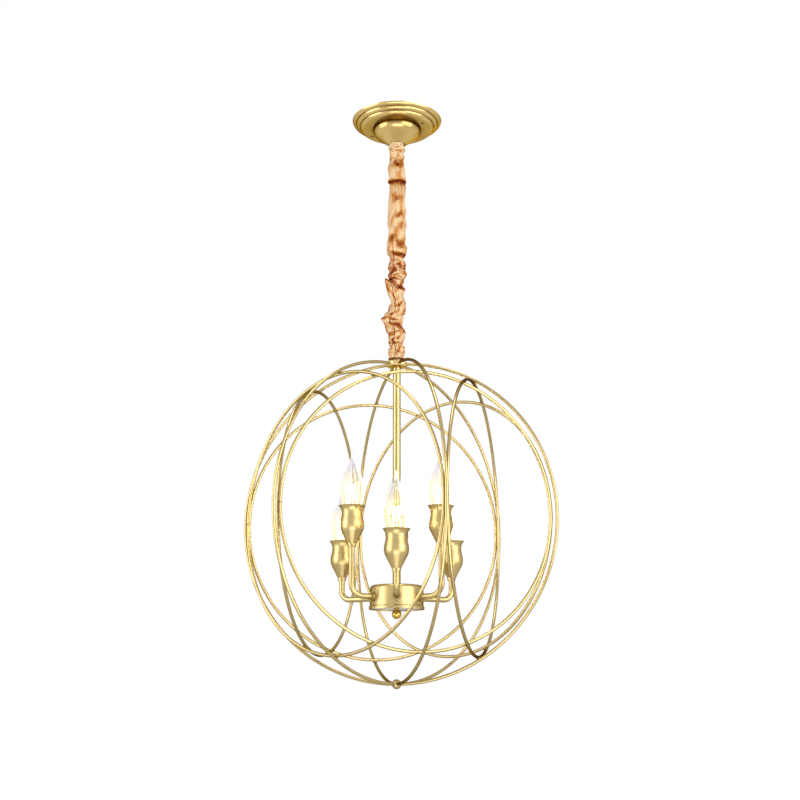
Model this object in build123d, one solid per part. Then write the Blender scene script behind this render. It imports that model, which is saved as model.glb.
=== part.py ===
from build123d import *

import os
from math import asin, cos, degrees, radians, sin, sqrt

# Candle chandelier: a globe of wire ribs and rings round six candle lights, hung on a sleeved chain.
# Millimetres and degrees. The origin is the middle of the canopy's ceiling face, +Z is up, -Y is the front.

# Clearances
SLIP = 0.1            # round a shank, tube or plug in its hole
TOUCH = 0.1           # between wires and links that bear on each other
THROUGH = 60.0        # length of a cutter that goes right through

# Canopy
CANOPY_RADIUS = 61.0
CANOPY_SHEET = 0.9
STEP_COUNT = 3
STEP_WIDTH = 5.2
STEP_DROP = 4.2
DOME_RADIUS = 32.5
DOME_WALL = 6.0       # upright foot of the dome
DOME_ROUND = 12.0
DOME_DEPTH = 22.0     # from the flat ledge to the mouth
MOUTH_RADIUS = 12.2
SCREW_CIRCLE = 80.0
SCREW_HOLE = 4.5
SCREW_TURN = -30.0    # direction of the first screw hole

# Hanger inside the canopy
BAR_WIDTH = 16.0
BAR_THICKNESS = 2.5
BAR_END = 4.2         # bar past the middle of the screw holes
SHANK_RADIUS = 4.0
SHANK_TIP = 1.2       # shank showing above its nut
NUT_FLATS = 13.0
NUT_THICKNESS = 4.5
SHOULDER_RADIUS = 7.0
SHOULDER_HEIGHT = 3.0
LOOP_NECK_RADIUS = 3.2
HANGER_DROP = 18.3    # bar to the wire at the bottom of the eye
BLOCK_SIZE = (16.0, 12.0, 7.0)
BLOCK_PLACE = 22.0    # along the bar
BLOCK_WAYS = 3
BLOCK_HOLE = 2.8

# Eyes, rings and chain
EYE_RADIUS = 5.5      # to the middle of the wire
EYE_WIRE = 2.8
RING_RADIUS = 3.8
RING_WIRE = 2.2
LINK_COUNT = 17
LINK_INNER = 16.92
LINK_WIDTH = 10.0
LINK_WIRE = 2.2

# Gathered cloth sleeve over the chain: distance below the mouth, radius and sideways lean of each fold
SLEEVE_FOLDS = (
    (9.0, 12.0, 0.0),
    (24.0, 9.6, -0.6),
    (40.0, 10.4, -0.8),
    (58.0, 12.2, 1.4),
    (80.0, 10.3, -0.6),
    (98.0, 11.5, 0.6),
    (117.0, 10.5, -0.5),
    (137.0, 12.6, -0.9),
    (157.0, 12.2, 0.7),
    (177.0, 11.4, 0.8),
    (197.0, 13.4, -1.8),
    (214.0, 10.6, 0.5),
    (231.0, 8.9, 0.4),
    (252.0, 15.0, -2.4),
    (273.0, 10.6, 0.5),
)
SLEEVE_CLOTH = 0.7
SLEEVE_TUCK = 3.0     # sleeve that goes up into the mouth
SLEEVE_TUCK_RADIUS = 8.2
FOLD_HALF = 7.0
FOLD_CREST = 3.0      # half the length of a fold's crest
FOLD_DEPTH = 2.2
HEM_RADIUS = 10.8
HEM_LENGTH = 17.0
HEM_GAP = 3.4         # sleeve to cage hub

# Cage
CAGE_RADIUS = 204.0   # to the middle of the ribs' wire
CAGE_WIRE = 4.0
CAGE_TURN = -14.0     # direction of the first rib
RIB_COUNT = 6
CAGE_HUB_RADIUS = 13.5
CAGE_HUB_HEIGHT = 6.8
CAGE_HUB_EDGE = 1.5
CAGE_HUB_CROWN = 1.2
RIB_SOCKET = 5.5      # depth of a rib in the hub
BALL_RADIUS = 6.0
BALL_SOCKET = 1.6     # depth of a rib in the ball
BRAZE_RADIUS = 2.5

# Loop on the cage and stem below it
BOSS_RADIUS = 5.0
BOSS_HEIGHT = 8.0
STUD_RADIUS = 2.9
STUD_LENGTH = 20.0
WIRE_WAY = 1.7        # radius of the way for the wires
STEM_RADIUS = 5.0
STEM_LENGTH = 284.0
SPIGOT_RADIUS = 4.0
SPIGOT_WINDOW = 2.0

# Arm hub
HUB_RADIUS = 33.7
HUB_HEIGHT = 29.7
HUB_WALL = 1.2
HUB_ROUND = 5.0
LIP_HEIGHT = 4.1
LIP_FLARE = 1.1
COVER_THICKNESS = 1.2
FINIAL_RADIUS = 6.1
FINIAL_NECK = 3.4
FINIAL_DROP = 7.6     # cover to the middle of the finial's ball
FINIAL_STUD = 14.0
CONNECTOR_SIZE = (11.0, 16.0, 7.0)
CONNECTOR_PLACE = 14.0

# Arms: even ones are long and low, odd ones short and high
ARM_COUNT = 6
ARM_TURN = -90.0
ARM_RADIUS = 3.6
ARM_BORE = 2.6
ARM_DEPTH = 15.0      # hub top to the arms
ARM_INNER = 24.0
ARM_REACH = (81.5, 64.0)
ARM_RISE = (26.0, 61.5)   # arm to the foot of its cup
ARM_BEND = (12.0, 16.0)
ARM_BEAD = 1.2
ARM_BEAD_HEIGHT = 1.6
BUSH_RADIUS = 5.8
BUSH_LENGTH = 3.0
ARM_NUT_FLATS = 12.0
ARM_NUT_LENGTH = 4.0

# Candle cup, measured up from its foot
CUP_WALL = 0.8
CUP_FLOOR = 2.2
CUP_HEIGHT = 49.5
FOOT_RADIUS = 5.6
CREASE_RADIUS = 13.4
CREASE_HEIGHT = 17.5
BELLY_RADIUS = 15.1
BELLY_HEIGHT = 25.5
THROAT_RADIUS = 12.9
THROAT_HEIGHT = 40.0
RIM_RADIUS = 16.8

# Lampholder
HOLDER_RADIUS = 9.7
HOLDER_TOP = 38.0
HOLDER_SHOULDER = 17.5
HOLDER_STUB = 0.8     # wall round the arm
HOLDER_STUB_TOP = 4.4
HOLDER_BOTTOM = 20.4  # floor of the bulb's socket
ARM_PLUG = 7.0        # arm inside the lampholder
CONTACT_RADIUS = 2.6
CONTACT_THICKNESS = 0.4

# Bulb, measured up from its cap
CAP_RADIUS = 6.9
CAP_TIP_RADIUS = 4.4
CAP_TIP_LENGTH = 4.0
GLASS_WALL = 0.8
GLASS_OUTLINE = ((7.4, 0.0), (11.9, 11.0), (14.9, 28.0), (11.6, 48.0), (5.0, 65.0), (1.7, 78.0))
GLASS_TIP = 84.0
GLASS_HOLLOW = 73.0
MOUNT_RADIUS = 2.2
MOUNT_HEIGHT = 13.0
MOUNT_DISC = 4.4
MOUNT_DISC_THICKNESS = 0.8
FILAMENT_COUNT = 4
FILAMENT_CIRCLE = 3.2
FILAMENT_RADIUS = 0.8
FILAMENT_LENGTH = 26.0

# Heights that follow from the sizes above
ledge_z = -STEP_COUNT * STEP_DROP
mouth_z = ledge_z - DOME_DEPTH
bar_z = ledge_z + CANOPY_SHEET
hanger_eye_z = bar_z - HANGER_DROP
upper_ring_top_z = hanger_eye_z + EYE_WIRE / 2 + RING_WIRE / 2 + TOUCH
upper_ring_bottom_z = upper_ring_top_z - 2 * RING_RADIUS
link_reach = LINK_INNER + LINK_WIRE
link_pitch = LINK_INNER - TOUCH
chain_top_z = upper_ring_bottom_z + RING_WIRE / 2 + LINK_WIRE / 2 + TOUCH
chain_bottom_z = chain_top_z - (LINK_COUNT - 1) * link_pitch - link_reach
lower_ring_top_z = chain_bottom_z + LINK_WIRE / 2 + RING_WIRE / 2 + TOUCH
lower_ring_bottom_z = lower_ring_top_z - 2 * RING_RADIUS
cage_eye_z = lower_ring_bottom_z + RING_WIRE / 2 + EYE_WIRE / 2 + TOUCH
boss_top_z = cage_eye_z - 2 * EYE_RADIUS
cage_hub_top_z = boss_top_z - BOSS_HEIGHT
pole_z = cage_hub_top_z - CAGE_HUB_CROWN - CAGE_HUB_HEIGHT / 2
cage_hub_bottom_z = pole_z - CAGE_HUB_HEIGHT / 2
centre_z = pole_z - CAGE_RADIUS
hub_top_z = cage_hub_bottom_z - STEM_LENGTH
hub_bottom_z = hub_top_z - HUB_HEIGHT
cover_seat_z = hub_bottom_z + LIP_HEIGHT - LIP_FLARE
cover_bottom_z = cover_seat_z - COVER_THICKNESS
arm_z = hub_top_z - ARM_DEPTH


def lathe(*lines):
    """Solid turned about Z from an outline of radii and heights."""
    edges = [edge for line in lines for edge in line.edges()]
    return revolve(Plane.XZ * make_face(edges), Axis.Z)


def turned(azimuth):
    """Turn about Z from the +X direction."""
    return Rot(0, 0, azimuth)


def upright_ring(radius, wire):
    """Closed wire ring in the YZ plane."""
    return Rot(0, 90, 0) * Torus(radius, wire / 2)


def hexagon(flats, length):
    """Hexagonal prism standing on the XY plane."""
    return extrude(RegularPolygon(flats / 2, 6, major_radius=False), length)


def canopy_outline(inset):
    """Stepped rim, flat ledge and tapered dome, from the rim down to the mouth."""
    lines = []
    radius = CANOPY_RADIUS - inset
    height = inset
    diagonal = sin(radians(45))
    for _ in range(STEP_COUNT):
        low = (radius - STEP_WIDTH, height - STEP_DROP)
        middle = (low[0] + STEP_WIDTH * diagonal, height - STEP_DROP * diagonal)
        lines.append(ThreePointArc((radius, height), middle, low))
        radius, height = low
    foot = DOME_RADIUS - inset
    lines.append(Line((radius, height), (foot, height)))
    dome = ((foot, height), (foot, height - DOME_WALL), (MOUTH_RADIUS - inset, height - DOME_DEPTH))
    lines.append(FilletPolyline(*dome, radius=DOME_ROUND))
    return lines


def make_canopy():
    """Pressed canopy, open at the ceiling and at the mouth."""
    outside = canopy_outline(0)
    shell = lathe(*outside, Polyline((MOUTH_RADIUS, mouth_z), (0, mouth_z), (0, 0), (CANOPY_RADIUS, 0)))
    inner_rim = CANOPY_RADIUS - CANOPY_SHEET
    inner_mouth = MOUTH_RADIUS - CANOPY_SHEET
    below = mouth_z - CANOPY_SHEET
    close = Polyline(
        (inner_mouth, mouth_z + CANOPY_SHEET),
        (inner_mouth, below),
        (0, below),
        (0, CANOPY_SHEET),
        (inner_rim, CANOPY_SHEET),
    )
    shell -= lathe(*canopy_outline(CANOPY_SHEET), close)
    return shell - screw_holes(0)


def screw_holes(start_z):
    """The two holes that hold the canopy to the ceiling, from a height down through the ledge."""
    depth = start_z - ledge_z + CANOPY_SHEET
    hole = Pos(SCREW_CIRCLE / 2, 0, start_z - depth / 2) * Cylinder(SCREW_HOLE / 2, depth)
    return [turned(SCREW_TURN + side) * hole for side in (0, 180)]


def make_hanger_bar():
    """Flat bar across the inside of the canopy, held by the same two screws."""
    length = SCREW_CIRCLE + 2 * BAR_END
    outline = RectangleRounded(length, BAR_WIDTH, BAR_WIDTH / 4) - Circle(SHANK_RADIUS + SLIP)
    bar = turned(SCREW_TURN) * (Pos(0, 0, bar_z) * extrude(outline, BAR_THICKNESS))
    return bar - screw_holes(0)


def make_hanger_loop():
    """Threaded shank and shoulder with an eye below, which carries the chain."""
    shank_top = bar_z + BAR_THICKNESS + NUT_THICKNESS + SHANK_TIP
    shank = lathe(Polyline(
        (0, shank_top),
        (SHANK_RADIUS, shank_top),
        (SHANK_RADIUS, bar_z),
        (SHOULDER_RADIUS, bar_z),
        (SHOULDER_RADIUS, bar_z - SHOULDER_HEIGHT),
        (LOOP_NECK_RADIUS, bar_z - SHOULDER_HEIGHT),
        (LOOP_NECK_RADIUS, hanger_eye_z + 2 * EYE_RADIUS),
        (0, hanger_eye_z + 2 * EYE_RADIUS),
        close=True,
    ))
    return shank + Pos(0, 0, hanger_eye_z + EYE_RADIUS) * upright_ring(EYE_RADIUS, EYE_WIRE)


def make_hanger_nut():
    """Nut that holds the loop up on the bar."""
    nut = hexagon(NUT_FLATS, NUT_THICKNESS) - Cylinder(SHANK_RADIUS + SLIP, THROUGH)
    return Pos(0, 0, bar_z + BAR_THICKNESS) * nut


def make_terminal_block():
    """Wire terminal block that stands on the bar, with a through hole for each way."""
    length, width, height = BLOCK_SIZE
    block = Box(*BLOCK_SIZE)
    for way in range(BLOCK_WAYS):
        along = (way + 0.5) * length / BLOCK_WAYS - length / 2
        block -= Pos(along, 0, 0) * Rot(90, 0, 0) * Cylinder(BLOCK_HOLE / 2, width)
    return turned(SCREW_TURN) * Pos(BLOCK_PLACE, 0, bar_z + BAR_THICKNESS + height / 2) * block


def make_link():
    """Oval chain link in the YZ plane, with its top wire at the origin."""
    bend = (LINK_WIDTH - LINK_WIRE) / 2
    straight = link_reach - 2 * bend
    wire = Circle(LINK_WIRE / 2)
    link = revolve(Pos(0, bend, -bend) * wire, Axis((0, 0, -bend), (1, 0, 0)), 180)
    low = -bend - straight
    link += revolve(Pos(0, bend, low) * wire, Axis((0, 0, low), (-1, 0, 0)), 180)
    for side in (-bend, bend):
        link += Pos(0, side, -link_reach / 2) * Cylinder(LINK_WIRE / 2, straight)
    return link


def make_chain():
    """Chain links, each turned a quarter from the one above."""
    link = make_link()
    links = []
    for i in range(LINK_COUNT):
        links.append(Pos(0, 0, chain_top_z - i * link_pitch) * turned(90 * (i % 2)) * link)
    return links


def make_connecting_ring(top_z):
    """Round ring that joins the chain to an eye, across both."""
    return Pos(0, 0, top_z - RING_RADIUS) * turned(90) * upright_ring(RING_RADIUS, RING_WIRE)


def sleeve_circles(inset):
    """Circles of the gathered sleeve from top to hem, four to a fold."""
    hem_z = pole_z + CAGE_HUB_HEIGHT / 2 + HEM_GAP
    rows = [(mouth_z + SLEEVE_TUCK, SLEEVE_TUCK_RADIUS, 0)]
    for drop, crest, lean in SLEEVE_FOLDS:
        fold_z = mouth_z - drop
        rows.append((fold_z + FOLD_HALF, crest - FOLD_DEPTH, lean / 2))
        rows.append((fold_z + FOLD_CREST, crest, lean))
        rows.append((fold_z - FOLD_CREST, crest, lean))
        rows.append((fold_z - FOLD_HALF, crest - FOLD_DEPTH, lean / 2))
    rows.append((hem_z + HEM_LENGTH, HEM_RADIUS - FOLD_DEPTH / 2, 0))
    rows.append((hem_z + HEM_LENGTH / 2, HEM_RADIUS, 0))
    rows.append((hem_z, HEM_RADIUS, 0))
    return [Pos(lean, 0, z) * Circle(radius - inset) for z, radius, lean in rows]


def make_sleeve():
    """Gathered cloth tube with its folds, open at both ends."""
    return loft(sleeve_circles(0), ruled=True) - loft(sleeve_circles(SLEEVE_CLOTH), ruled=True)


def make_cage_loop():
    """Eye with a boss that bears on the cage hub and a hollow stud down into the stem."""
    stud_bottom = cage_hub_bottom_z - STUD_LENGTH
    boss = lathe(Polyline(
        (0, boss_top_z),
        (BOSS_RADIUS, boss_top_z),
        (BOSS_RADIUS, cage_hub_top_z),
        (STUD_RADIUS, cage_hub_top_z),
        (STUD_RADIUS, stud_bottom),
        (WIRE_WAY, stud_bottom),
        (WIRE_WAY, cage_hub_top_z),
        (0, cage_hub_top_z),
        close=True,
    ))
    inlet = Pos(BOSS_RADIUS / 2, 0, cage_hub_top_z + BOSS_HEIGHT / 2) * Rot(0, 90, 0)
    boss -= inlet * Cylinder(WIRE_WAY, BOSS_RADIUS)
    boss -= Pos(0, 0, cage_hub_top_z + BOSS_HEIGHT / 4) * Cylinder(WIRE_WAY, BOSS_HEIGHT / 2)
    return boss + Pos(0, 0, cage_eye_z - EYE_RADIUS) * upright_ring(EYE_RADIUS, EYE_WIRE)


def rib_azimuth(k):
    """Direction of a rib and of the ring that faces it."""
    return CAGE_TURN + k * 360 / RIB_COUNT


def rib(k, wire, hub_depth, ball_depth):
    """Half circle of wire from the cage hub round to the bottom ball."""
    top = asin((CAGE_HUB_RADIUS - hub_depth) / CAGE_RADIUS)
    bottom = asin((BALL_RADIUS - ball_depth) / CAGE_RADIUS)
    start = (CAGE_RADIUS * sin(top), 0, CAGE_RADIUS * cos(top))
    section = Plane(origin=start, x_dir=(0, 1, 0), z_dir=(cos(top), 0, -sin(top))) * Circle(wire / 2)
    arc = revolve(section, Axis((0, 0, 0), (0, 1, 0)), 180 - degrees(top) - degrees(bottom))
    return Pos(0, 0, centre_z) * turned(rib_azimuth(k)) * arc


def rib_sockets():
    """Holes that the ribs' ends sit in."""
    return [rib(k, CAGE_WIRE + SLIP, RIB_SOCKET + SLIP, BALL_SOCKET + SLIP) for k in range(RIB_COUNT)]


def ring_sphere(k):
    """Rings lie just inside the ribs: even ones in the outer layer, odd ones in the inner layer."""
    return CAGE_RADIUS - (1 + k % 2) * (CAGE_WIRE + TOUCH)


def ring_half_angle(k):
    """Half the angle that a ring spans, so that rings of one layer touch side by side at the equator."""
    return radians(360 / RIB_COUNT) - asin((CAGE_WIRE + TOUCH) / 2 / ring_sphere(k))


def make_cage_ring(k):
    """Upright ring that faces outwards along the direction of its rib."""
    offset = ring_sphere(k) * cos(ring_half_angle(k))
    ring = upright_ring(ring_sphere(k) * sin(ring_half_angle(k)), CAGE_WIRE)
    return Pos(0, 0, centre_z) * turned(rib_azimuth(k)) * Pos(offset, 0, 0) * ring


def make_brazes(ribs, rings):
    """Beads where an outer ring meets its rib and where two rings cross, shaped by the wires they join."""
    beads = []
    crossing = 180 / RIB_COUNT
    for k in range(RIB_COUNT):
        after = (k + 1) % RIB_COUNT
        places = [(rings[k], rings[after], (ring_sphere(k) + ring_sphere(after)) / 2, crossing)]
        if k % 2 == 0:
            places.append((rings[k], ribs[k], (ring_sphere(k) + CAGE_RADIUS) / 2, 0))
        for wire_a, wire_b, sphere, turn in places:
            offset = sphere * cos((ring_half_angle(k) + ring_half_angle(after if turn else k)) / 2)
            out = offset / cos(radians(turn))
            for side in (-1, 1):
                up = side * sqrt(sphere ** 2 - out ** 2)
                bead = turned(rib_azimuth(k) + turn) * Pos(out, 0, centre_z + up) * Sphere(BRAZE_RADIUS)
                beads.append(bead - wire_a - wire_b)
    return beads


def make_cage_hub():
    """Crowned disc with a socket for each rib."""
    low = cage_hub_bottom_z
    high = pole_z + CAGE_HUB_HEIGHT / 2
    hub = lathe(Polyline(
        (STUD_RADIUS + SLIP, low),
        (CAGE_HUB_RADIUS - CAGE_HUB_EDGE, low),
        (CAGE_HUB_RADIUS, low + CAGE_HUB_EDGE),
        (CAGE_HUB_RADIUS, high - CAGE_HUB_EDGE),
        (CAGE_HUB_RADIUS - CAGE_HUB_EDGE, high),
        (BOSS_RADIUS, cage_hub_top_z),
        (STUD_RADIUS + SLIP, cage_hub_top_z),
        close=True,
    ))
    return hub - rib_sockets()


def make_bottom_ball():
    """Ball that gathers the ribs' lower ends."""
    return Pos(0, 0, centre_z - CAGE_RADIUS) * Sphere(BALL_RADIUS) - rib_sockets()


def make_stem():
    """Tube from the cage hub to the arm hub, with a spigot through the arm hub down to its cover."""
    bore = STUD_RADIUS + SLIP
    stem = lathe(Polyline(
        (bore, cage_hub_bottom_z),
        (STEM_RADIUS, cage_hub_bottom_z),
        (STEM_RADIUS, hub_top_z),
        (SPIGOT_RADIUS, hub_top_z),
        (SPIGOT_RADIUS, cover_seat_z),
        (bore, cover_seat_z),
        close=True,
    ))
    window = Pos(0, SPIGOT_RADIUS / 2, arm_z) * Rot(90, 0, 0) * Cylinder(SPIGOT_WINDOW, SPIGOT_RADIUS)
    return stem - window


def make_arm_hub():
    """Pressed drum with a rounded top, open below, with a flared lip that takes the cover."""
    lip = HUB_RADIUS + LIP_FLARE
    round_z = hub_top_z - HUB_ROUND
    flare_z = hub_bottom_z + LIP_HEIGHT
    inner = HUB_RADIUS - HUB_WALL
    inner_round = HUB_ROUND - HUB_WALL
    diagonal = 1 - sin(radians(45))
    outside = Polyline(
        (HUB_RADIUS, round_z),
        (HUB_RADIUS, flare_z),
        (lip, flare_z - LIP_FLARE),
        (lip, hub_bottom_z),
    )
    corner = (HUB_RADIUS - diagonal * HUB_ROUND, hub_top_z - diagonal * HUB_ROUND)
    top_round = ThreePointArc((HUB_RADIUS - HUB_ROUND, hub_top_z), corner, (HUB_RADIUS, round_z))
    inner_corner = (inner - diagonal * inner_round, hub_top_z - HUB_WALL - diagonal * inner_round)
    inner_top = (inner - inner_round, hub_top_z - HUB_WALL)
    inside_round = ThreePointArc((inner, round_z), inner_corner, inner_top)
    foot = Polyline(
        (lip, hub_bottom_z),
        (lip - HUB_WALL, hub_bottom_z),
        (lip - HUB_WALL, cover_seat_z),
        (inner, cover_seat_z),
        (inner, round_z),
    )
    hole = SPIGOT_RADIUS + SLIP
    top = Polyline(
        inner_top,
        (hole, hub_top_z - HUB_WALL),
        (hole, hub_top_z),
        (HUB_RADIUS - HUB_ROUND, hub_top_z),
    )
    drum = lathe(outside, foot, inside_round, top, top_round)
    side_hole = Pos(HUB_RADIUS, 0, arm_z) * Rot(0, 90, 0) * Cylinder(ARM_RADIUS + SLIP, HUB_ROUND)
    return drum - [turned(arm_azimuth(k)) * side_hole for k in range(ARM_COUNT)]


def make_hub_cover():
    """Flat plate that closes the drum from below, up against the step in its lip."""
    radius = HUB_RADIUS + LIP_FLARE - HUB_WALL - SLIP
    plate = Cylinder(radius, COVER_THICKNESS) - Cylinder(STUD_RADIUS + SLIP, THROUGH)
    return Pos(0, 0, cover_seat_z - COVER_THICKNESS / 2) * plate


def make_stem_nut():
    """Nut inside the drum that holds it up on the stem."""
    nut = hexagon(NUT_FLATS, NUT_THICKNESS) - Cylinder(SPIGOT_RADIUS + SLIP, THROUGH)
    return Pos(0, 0, hub_top_z - HUB_WALL - NUT_THICKNESS) * nut


def make_finial():
    """Ball on a short neck, with a stud through the cover into the stem."""
    ball_z = cover_bottom_z - FINIAL_DROP
    pin = lathe(Polyline(
        (0, cover_bottom_z + FINIAL_STUD),
        (STUD_RADIUS, cover_bottom_z + FINIAL_STUD),
        (STUD_RADIUS, cover_bottom_z),
        (FINIAL_NECK, cover_bottom_z),
        (FINIAL_NECK, ball_z),
        (0, ball_z),
        close=True,
    ))
    return pin + Pos(0, 0, ball_z) * Sphere(FINIAL_RADIUS)


def make_wire_connector():
    """Connector block for the arms' wires, on the cover inside the drum."""
    return Pos(CONNECTOR_PLACE, 0, cover_seat_z + CONNECTOR_SIZE[2] / 2) * Box(*CONNECTOR_SIZE)


def arm_azimuth(k):
    """Direction of an arm."""
    return ARM_TURN + k * 360 / ARM_COUNT


def light_place(k):
    """Place of the foot of an arm's cup."""
    return turned(arm_azimuth(k)) * Pos(ARM_REACH[k % 2], 0, arm_z + ARM_RISE[k % 2])


def make_arm(k):
    """Bent tube from inside the drum out and up to its lampholder, with a bead under the cup."""
    reach = ARM_REACH[k % 2]
    rise = ARM_RISE[k % 2]
    end = rise + CUP_FLOOR + ARM_PLUG
    path = FilletPolyline((ARM_INNER, 0, 0), (reach, 0, 0), (reach, 0, end), radius=ARM_BEND[k % 2])
    section = Plane(origin=(ARM_INNER, 0, 0), z_dir=(1, 0, 0)) * (Circle(ARM_RADIUS) - Circle(ARM_BORE))
    tube = sweep(section, path=path)
    ring = Circle(ARM_RADIUS + ARM_BEAD) - Circle((ARM_RADIUS + ARM_BORE) / 2)
    tube += Pos(reach, 0, rise - ARM_BEAD_HEIGHT) * extrude(ring, ARM_BEAD_HEIGHT)
    return Pos(0, 0, arm_z) * turned(arm_azimuth(k)) * tube


def arm_sleeve(section, start, length):
    """Piece on an arm, from a distance out along it."""
    piece = extrude(section - Circle(ARM_RADIUS + SLIP), length)
    return Plane(origin=(start, 0, 0), z_dir=(1, 0, 0)) * piece


def on_each_arm(piece):
    """Copies of a piece at every arm."""
    return [Pos(0, 0, arm_z) * turned(arm_azimuth(k)) * piece for k in range(ARM_COUNT)]


def make_bushes():
    """Round bushes where the arms leave the drum."""
    bush = arm_sleeve(Circle(BUSH_RADIUS), HUB_RADIUS - BUSH_LENGTH, 2 * BUSH_LENGTH)
    return on_each_arm(bush - Cylinder(HUB_RADIUS, THROUGH))


def make_arm_nuts():
    """Nuts that hold the arms from inside the drum."""
    inner = HUB_RADIUS - HUB_WALL
    hexagonal = RegularPolygon(ARM_NUT_FLATS / 2, 6, major_radius=False)
    nut = arm_sleeve(hexagonal, inner - ARM_NUT_LENGTH, ARM_NUT_LENGTH)
    return on_each_arm(nut & Cylinder(inner - TOUCH, THROUGH))


def cup_line(inset):
    """Curve of the cup's side from its crease up to its rim."""
    points = (
        (CREASE_RADIUS - inset, CREASE_HEIGHT),
        (BELLY_RADIUS - inset, BELLY_HEIGHT),
        (THROAT_RADIUS - inset, THROAT_HEIGHT),
        (RIM_RADIUS - inset, CUP_HEIGHT),
    )
    cone = (CREASE_RADIUS - FOOT_RADIUS, CREASE_HEIGHT - CUP_FLOOR)
    return Spline(*points, tangents=(cone, (1, 1)))


def make_cup():
    """Tulip cup: a cone from a small foot, a belly, a throat and a flared rim."""
    hole = ARM_RADIUS + SLIP
    outside = Polyline(
        (hole, 0),
        (FOOT_RADIUS, 0),
        (FOOT_RADIUS, CUP_FLOOR),
        (CREASE_RADIUS, CREASE_HEIGHT),
    )
    rim = Line((RIM_RADIUS, CUP_HEIGHT), (RIM_RADIUS - CUP_WALL, CUP_HEIGHT))
    inside = Polyline(
        (CREASE_RADIUS - CUP_WALL, CREASE_HEIGHT),
        (FOOT_RADIUS - CUP_WALL, CUP_FLOOR),
        (hole, CUP_FLOOR),
        (hole, 0),
    )
    return lathe(outside, cup_line(0), rim, cup_line(CUP_WALL), inside)


def make_lampholder():
    """Lampholder that plugs over the arm's end and takes the bulb's cap."""
    hole = ARM_RADIUS + SLIP
    socket = CAP_RADIUS + SLIP
    stub = hole + HOLDER_STUB
    return lathe(Polyline(
        (hole, CUP_FLOOR),
        (stub, CUP_FLOOR),
        (stub, HOLDER_STUB_TOP),
        (HOLDER_RADIUS, HOLDER_SHOULDER),
        (HOLDER_RADIUS, HOLDER_TOP),
        (socket, HOLDER_TOP),
        (socket, HOLDER_BOTTOM),
        (WIRE_WAY, HOLDER_BOTTOM),
        (WIRE_WAY, CUP_FLOOR + ARM_PLUG),
        (hole, CUP_FLOOR + ARM_PLUG),
        close=True,
    ))


def make_contact():
    """Disc at the bottom of the bulb's socket."""
    return Pos(0, 0, HOLDER_BOTTOM + CONTACT_THICKNESS / 2) * Cylinder(CONTACT_RADIUS, CONTACT_THICKNESS)


def make_glass():
    """Hollow flame-shaped glass with a drawn-out tip."""
    outside = Spline(*GLASS_OUTLINE, (0, GLASS_TIP), tangents=((1, 1), (-1, 1)))
    hollow = [(radius - GLASS_WALL, height) for radius, height in GLASS_OUTLINE[:-1]]
    inside = Spline(*hollow, (0, GLASS_HOLLOW), tangents=((1, 1), (-1, 1)))
    neck = GLASS_OUTLINE[0][0]
    glass = lathe(outside, Polyline((0, GLASS_TIP), (0, 0), (neck, 0)))
    glass -= lathe(inside, Polyline((0, GLASS_HOLLOW), (0, 0), (neck - GLASS_WALL, 0)))
    return Pos(0, 0, HOLDER_TOP) * glass


def make_bulb_core():
    """Cap with its contact, the mount inside the glass, and the filaments that stand on it."""
    tip_z = HOLDER_BOTTOM + CONTACT_THICKNESS + TOUCH
    disc_z = HOLDER_TOP + MOUNT_HEIGHT
    core = lathe(Polyline(
        (0, tip_z),
        (CAP_TIP_RADIUS / 2, tip_z),
        (CAP_TIP_RADIUS, tip_z + CAP_TIP_LENGTH / 2),
        (CAP_RADIUS, tip_z + CAP_TIP_LENGTH),
        (CAP_RADIUS, HOLDER_TOP),
        (MOUNT_RADIUS, HOLDER_TOP),
        (MOUNT_RADIUS, disc_z - MOUNT_DISC_THICKNESS),
        (MOUNT_DISC, disc_z - MOUNT_DISC_THICKNESS),
        (MOUNT_DISC, disc_z),
        (0, disc_z),
        close=True,
    ))
    rod = Pos(FILAMENT_CIRCLE, 0, disc_z + FILAMENT_LENGTH / 2) * Cylinder(FILAMENT_RADIUS, FILAMENT_LENGTH)
    return [core] + [turned(i * 360 / FILAMENT_COUNT) * rod for i in range(FILAMENT_COUNT)]


def make_parts():
    """Every node by name."""
    ribs = [rib(k, CAGE_WIRE, RIB_SOCKET, BALL_SOCKET) for k in range(RIB_COUNT)]
    rings = [make_cage_ring(k) for k in range(RIB_COUNT)]
    places = [light_place(k) for k in range(ARM_COUNT)]
    parts = {
        "canopy": make_canopy(),
        "hanger_bar": make_hanger_bar(),
        "hanger_loop": make_hanger_loop(),
        "hanger_nut": make_hanger_nut(),
        "terminal_block": make_terminal_block(),
        "upper_ring": make_connecting_ring(upper_ring_top_z),
        "chain_links": make_chain(),
        "chain_sleeve": make_sleeve(),
        "lower_ring": make_connecting_ring(lower_ring_top_z),
        "cage_loop": make_cage_loop(),
        "cage_hub": make_cage_hub(),
        "cage_brazes": make_brazes(ribs, rings),
        "bottom_ball": make_bottom_ball(),
        "stem": make_stem(),
        "arm_hub": make_arm_hub(),
        "hub_cover": make_hub_cover(),
        "stem_nut": make_stem_nut(),
        "finial": make_finial(),
        "wire_connector": make_wire_connector(),
        "arm_bushes": make_bushes(),
        "arm_nuts": make_arm_nuts(),
        "lampholders": [place * make_lampholder() for place in places],
        "lampholder_contacts": [place * make_contact() for place in places],
    }
    for k in range(RIB_COUNT):
        parts[f"cage_rib_{k + 1}"] = ribs[k]
        parts[f"cage_ring_{k + 1}"] = rings[k]
    cup = make_cup()
    glass = make_glass()
    core = make_bulb_core()
    for k, place in enumerate(places):
        parts[f"arm_{k + 1}"] = make_arm(k)
        parts[f"cup_{k + 1}"] = place * cup
        parts[f"bulb_{k + 1}_glass"] = place * glass
        parts[f"bulb_{k + 1}_core"] = [place * piece for piece in core]
    return parts


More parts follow.
